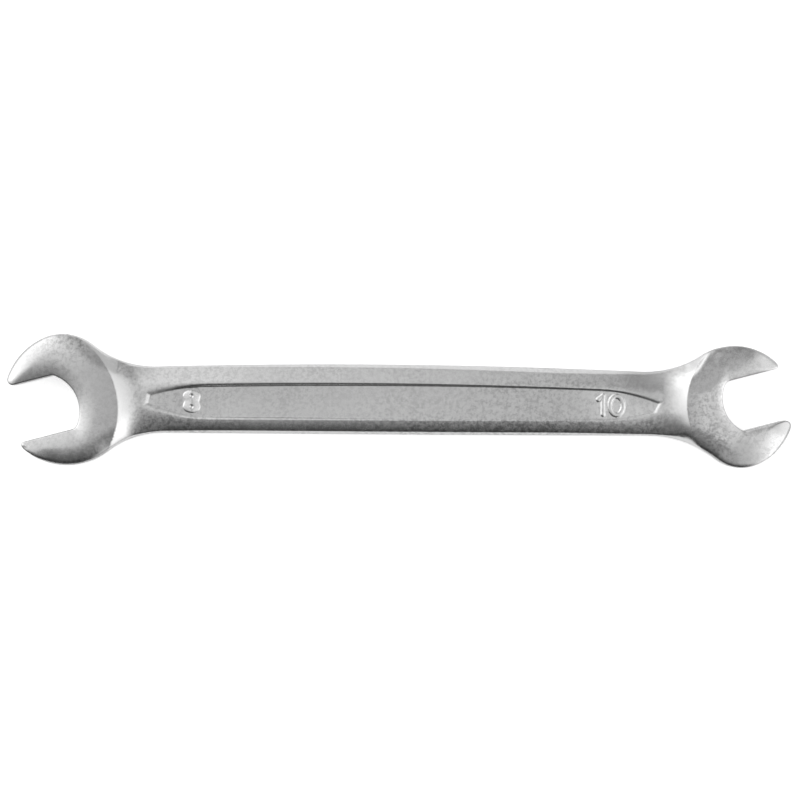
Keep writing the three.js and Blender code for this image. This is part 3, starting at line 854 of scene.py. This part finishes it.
table = {
    "size": 3.0,                             # in metres
    "colour": "#f2f2f2",
    "grainSize": 0.5556, "grainHeight": 0.1, "grainStrength": 0.2,
    "seenGlow": 0.62, "mirroredGlow": 0.14,  # what is added where the camera sees it, and in the chrome
}


def whiteTable():
    # matt white board, whose own colour is lifted to the photograph's white where it is seen or mirrored
    material = bpy.data.materials.new("matt_white_board")
    material.use_nodes = True
    tree = material.node_tree
    tree.nodes.clear()
    path = addNode(tree, "ShaderNodeLightPath")
    place = addNode(tree, "ShaderNodeTexCoord").outputs["Object"]
    mirrored = addNode(tree, "ShaderNodeMath", {"operation": "MULTIPLY"}, {0: path.outputs["Is Glossy Ray"]})
    mirrored.inputs[1].default_value = table["mirroredGlow"]
    grain = addNode(tree, "ShaderNodeTexNoise", links={"Vector": place},
                    Scale=perMetre / table["grainSize"] / 2)
    bump = addNode(tree, "ShaderNodeBump", links={"Height": grain.outputs["Fac"]},
                   Strength=table["grainStrength"], Distance=table["grainHeight"] / perMetre)
    board = addNode(tree, "ShaderNodeBsdfDiffuse", links={"Normal": bump.outputs["Normal"]},
                    Color=linear(table["colour"]))
    amount = addNode(tree, "ShaderNodeMath", {"operation": "MULTIPLY_ADD"},
                     {0: path.outputs["Is Camera Ray"], 2: mirrored.outputs[0]})
    amount.inputs[1].default_value = table["seenGlow"]
    glow = addNode(tree, "ShaderNodeEmission", links={"Strength": amount.outputs[0]})
    both = addNode(tree, "ShaderNodeAddShader", links={0: board.outputs[0], 1: glow.outputs[0]})
    addNode(tree, "ShaderNodeOutputMaterial", links={"Surface": both.outputs[0]})
    return material


halfTable = table["size"] / 2
corners = [(x * halfTable, y * halfTable, 0) for x, y in ((-1, -1), (1, -1), (1, 1), (-1, 1))]
boardMesh = bpy.data.meshes.new("table")
boardMesh.from_pydata(corners, [], [(0, 1, 2, 3)])
board = bpy.data.objects.new("table", boardMesh)
board.data.materials.append(whiteTable())
bpy.context.scene.collection.objects.link(board)
print("table")

# A tent round the table: grey overhead, a white wall at the left that is lighter towards the back, a soft
# box at the right that is lighter towards the front, a seam beside it, and a dark room through the opening
# in front. x, y and z are those of the direction that is looked in, and y grows towards the back. A ramp
# goes from its third number to its fourth while what it follows goes from its first to its second. The
# other rows join what stands above them.
studio = {
    "overhead": ("SMOOTHSTEP", "y", -0.14, -0.02, 0.4, 0.61),
    "room": ("LINEAR", "y", -0.14, -0.78, 0.0, 0.35),          # how the opening darkens, downwards
    "farTable": ("LINEAR", "y", -0.8, -1.0, 0.0, 0.06),        # what the table adds at its bottom
    "backFall": ("LINEAR", "y", 0.15, 0.7, 0.0, 0.05),         # how the tent darkens towards the back
    "overRoom": ("SUBTRACT", "overhead", "room"),
    "overTable": ("ADD", "overRoom", "farTable"),
    "tent": ("SUBTRACT", "overTable", "backFall"),
    "seamPlace": ("LINEAR", "y", 0.1, 0.6, 0.07, 0.2),         # the seam moves to the right towards the back
    "seamSide": ("SUBTRACT", "x", "seamPlace"),
    "offSeam": ("ABSOLUTE", "seamSide"),
    "seamProfile": ("SMOOTHSTEP", "offSeam", 0.02, 0.12, 1.0, 0.0),
    "seamNear": ("LINEAR", "y", -0.12, 0.02, 0.02, 0.1),
    "seamFar": ("LINEAR", "y", 0.02, 0.3, 0.0, 0.15),
    "seamDepth": ("ADD", "seamNear", "seamFar"),
    "seam": ("MULTIPLY", "seamProfile", "seamDepth"),
    "tentWithSeam": ("SUBTRACT", "tent", "seam"),
    "wallNear": ("LINEAR", "y", -0.45, -0.1, 0.0, 0.5),        # the wall is lighter towards the back
    "wallFar": ("LINEAR", "y", -0.1, 0.15, 0.0, 0.8),
    "wallDepth": ("ADD", "wallNear", "wallFar"),
    "wallAcross": ("LINEAR", "x", 0.0, -0.62, 0.0, 0.95),
    "wallFull": ("MULTIPLY", "wallAcross", "wallDepth"),
    "wallFoot": ("LINEAR", "z", 0.0, 0.3, 0.35, 1.0),          # and darker at its foot
    "wall": ("MULTIPLY", "wallFull", "wallFoot"),
    "tentAndWall": ("ADD", "tentWithSeam", "wall"),
    "boxEdgeFront": ("LINEAR", "y", -0.08, -0.4, 0.08, 0.17),  # the soft box's near side bends away
    "boxEdgeBack": ("LINEAR", "y", 0.05, 0.6, 0.0, 0.27),
    "boxEdgeCorner": ("LINEAR", "y", -0.4, -0.65, 0.0, 0.12),
    "boxEdgeLong": ("ADD", "boxEdgeFront", "boxEdgeBack"),
    "boxEdge": ("ADD", "boxEdgeLong", "boxEdgeCorner"),
    "inBox": ("SUBTRACT", "x", "boxEdge"),
    "boxRim": ("LINEAR", "inBox", -0.02, 0.08, 0.0, 0.45),     # it comes in fast at its rim
    "boxCore": ("LINEAR", "inBox", 0.08, 0.5, 0.0, 0.55),      # and slowly past it
    "boxAcross": ("ADD", "boxRim", "boxCore"),
    "boxBack": ("LINEAR", "y", 0.65, 0.3, 0.0, 1.0),
    "boxShare": ("MULTIPLY", "boxAcross", "boxBack"),
    "boxGlow": ("LINEAR", "y", 0.1, -0.1, 1.15, 1.55),
    "boxFoot": ("LINEAR", "z", 0.05, 0.4, 0.35, 1.0),
    "box": ("MULTIPLY", "boxGlow", "boxFoot"),
}


def studioSky():
    # The tent and its wall, mixed with the soft box by the box's share. Each ramp is a Map Range node, and
    # each of the other rows a Math node.
    world = bpy.data.worlds.new("studio tent")
    world.use_nodes = True
    tree = world.node_tree
    tree.nodes.clear()
    looked = addNode(tree, "ShaderNodeTexCoord").outputs["Generated"]
    direction = addNode(tree, "ShaderNodeSeparateXYZ", links={0: looked})
    light = dict(zip("xyz", direction.outputs))
    for name, (kind, first, *rest) in studio.items():
        if kind in ("LINEAR", "SMOOTHSTEP"):
            node = addNode(tree, "ShaderNodeMapRange", {"interpolation_type": kind},
                           {"Value": light[first]}, **dict(zip(rampInputs, rest)))
        else:
            joined = [light[part] for part in (first, *rest)]
            node = addNode(tree, "ShaderNodeMath", {"operation": kind}, dict(enumerate(joined)))
        light[name] = node.outputs[0]
    level = addNode(tree, "ShaderNodeMix", {"data_type": "FLOAT"},
                    {0: light["boxShare"], 2: light["tentAndWall"], 3: light["box"]})
    glow = addNode(tree, "ShaderNodeBackground", links={"Strength": level.outputs[0]}, Color=(1, 1, 1, 1))
    addNode(tree, "ShaderNodeOutputWorld", links={"Surface": glow.outputs[0]})
    return world


scene = bpy.context.scene
scene.world = studioSky()
scene.view_settings.view_transform = "Standard"

# Lengths in metres, but the lens in millimetres
view = {
    "lens": 135.0,
    "field": 0.15688,                # how wide the picture is at the wrench's middle plane
    "middlePlane": 0.00275,
    "centre": (0.000161, 0.000559),
    "roll": math.radians(0.583),
    "nearest": 0.01,
}
camera = bpy.data.cameras.new("camera")
camera.lens = view["lens"]
camera.clip_start = view["nearest"]
eye = bpy.data.objects.new("camera", camera)
eye.location = (*view["centre"], view["middlePlane"] + view["lens"] / camera.sensor_width * view["field"])
eye.rotation_euler = (0, 0, view["roll"])
scene.collection.objects.link(eye)
scene.camera = eye
print("camera and light")
